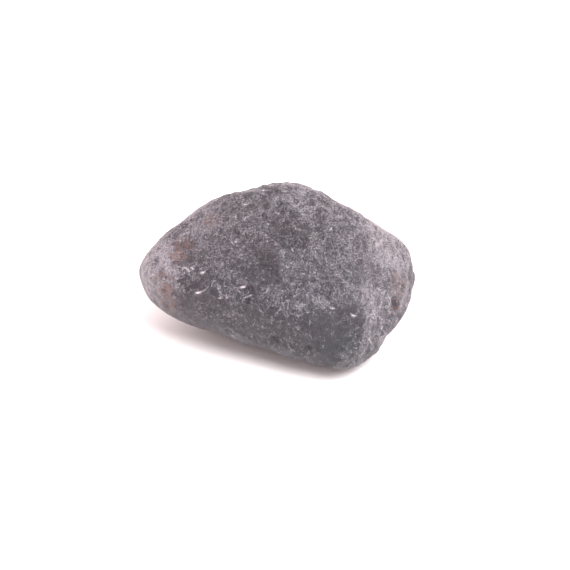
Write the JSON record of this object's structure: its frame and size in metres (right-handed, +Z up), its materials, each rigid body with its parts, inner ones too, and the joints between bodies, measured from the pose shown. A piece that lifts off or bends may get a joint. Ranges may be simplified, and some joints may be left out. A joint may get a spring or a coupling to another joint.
{
  "type": "tektite",
  "caption": "Tektite, a worn pebble of frosted natural glass with a pitted skin, resting on a small flat spot",
  "frame": {"origin": "centre of the bounding box in plan, on the ground plane that the flat spot rests on", "axes": "+X along the length towards the blunt end, +Z up, and the broad pitted front looks to -Y"},
  "size_m": [0.0356, 0.0254, 0.0206],
  "materials": {
    "frosted_glass": "natural smoky glass, skin frosted by fine etching and pits, lighter and slightly see-through at thin edges"
  },
  "bodies": {
    "root": {"tektite": "frosted_glass"}
  },
  "joints": []
}
